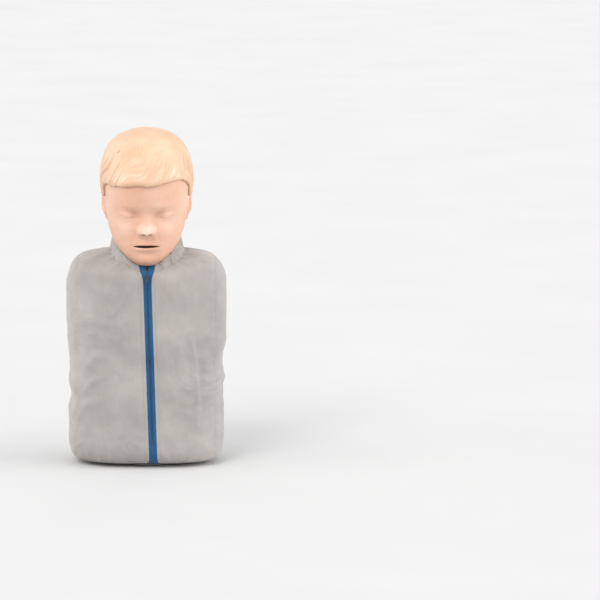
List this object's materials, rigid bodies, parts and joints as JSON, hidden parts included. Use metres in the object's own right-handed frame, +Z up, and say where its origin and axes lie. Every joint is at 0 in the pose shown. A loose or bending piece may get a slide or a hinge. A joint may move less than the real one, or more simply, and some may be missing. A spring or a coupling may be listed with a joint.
{
  "type": "cpr training manikin",
  "caption": "Child-size head and armless torso in a zipped jacket for resuscitation practice; head tilts, jaw opens and chest presses in.",
  "frame": {"origin": "middle of the flat standing face at the torso's lower end", "axes": "+Z up towards the head, -Y the way the face looks, +X the viewer's right when facing it"},
  "size_m": [0.2652, 0.2035, 0.5589],
  "materials": {
    "shell": "satin moulded",
    "skin": "soft matte vinyl",
    "neck_skin": "soft matte vinyl",
    "hair": "soft satin vinyl",
    "jacket": "brushed knit",
    "zip": "woven tape",
    "teeth": "moulded",
    "slider": "painted",
    "clip": "moulded",
    "film": "clear film",
    "inner": "moulded",
    "neck": "moulded",
    "mouth": "dark moulded",
    "spring": "plain",
    "screws": "plain",
    "pins": "plain",
    "board": "satin",
    "battery": "printed",
    "lens": "clear",
    "button": "moulded"
  },
  "bodies": {
    "torso": {"back_shell": "shell", "front_frame": "shell", "chest_skin": "skin", "lower_clip": "clip", "collar": "jacket", "hem_band": "jacket", "zip_tape_right": "zip", "zip_tape_left": "zip", "zip_teeth_right": "teeth", "zip_teeth_left": "teeth", "zip_stop": "teeth", "lung_bag": "film", "spring_guide": "inner", "compression_spring": "spring", "clicker_leaf": "spring", "neck_base": "inner", "neck_screws": "screws", "neck_column": "neck", "neck_skin": "neck_skin", "airway_tube": "film", "sensor_housing": "inner", "sensor_cover": "inner", "circuit_board": "board", "batteries": "battery", "battery_contacts": "spring", "power_switch": "inner", "light_pipe": "lens", "jacket_front_right": "jacket", "jacket_front_left": "jacket", "jacket_side_right": "jacket", "jacket_side_left": "jacket", "jacket_back": "jacket"},
    "chest": {"chest_plate": "inner", "plunger": "inner"},
    "head": {"skull": "inner", "hair_cap": "hair", "face_skin": "skin", "mouthpiece": "mouth", "pivot_pin": "pins", "jaw_pins": "pins"},
    "jaw": {"jaw": "inner"},
    "slider": {"zip_slider": "slider"},
    "pull": {"zip_pull": "slider"},
    "door": {"battery_door": "shell"},
    "button": {"power_button": "button"}
  },
  "joints": [
    {"name": "chest_press", "type": "slide", "parent": "torso", "child": "chest", "axis": [0, 1, 0], "range_m": [0, 0.05], "stiffness_N_per_m": 4900, "springref_m": -0.002, "deforming": ["chest_skin", "jacket_front_right", "jacket_front_left", "zip_tape_right", "zip_tape_left", "zip_teeth_right", "zip_teeth_left", "lung_bag", "compression_spring"]},
    {"name": "neck_tilt", "type": "hinge", "parent": "torso", "child": "head", "pos_m": [0, 0.006, 0.392], "axis": [-1, 0, 0], "range_deg": [0, 38], "deforming": ["collar", "airway_tube"]},
    {"name": "jaw_open", "type": "hinge", "parent": "head", "child": "jaw", "pos_m": [0, -0.02901, 0.42366], "axis": [1, 0, 0], "range_deg": [0, 8], "stiffness_Nm_per_rad": 2.5, "springref_deg": -2.86, "deforming": ["face_skin"]},
    {"name": "zip_slide", "type": "slide", "parent": "torso", "child": "slider", "axis": [0.0337, 0, -0.9994], "range_m": [0, 0.25]},
    {"name": "pull_swing", "type": "hinge", "parent": "slider", "child": "pull", "pos_m": [0.00063, -0.08735, 0.3202], "axis": [-0.9994, 0, -0.0337], "range_deg": [0, 120]},
    {"name": "door_swing", "type": "hinge", "parent": "torso", "child": "door", "pos_m": [-0.018, 0.0344, 0.0024], "axis": [1, 0, 0], "range_deg": [0, 90]},
    {"name": "button_press", "type": "slide", "parent": "torso", "child": "button", "axis": [0, 0, 1], "range_m": [0, 0.0012], "stiffness_N_per_m": 400, "springref_m": -0.0003}
  ]
}
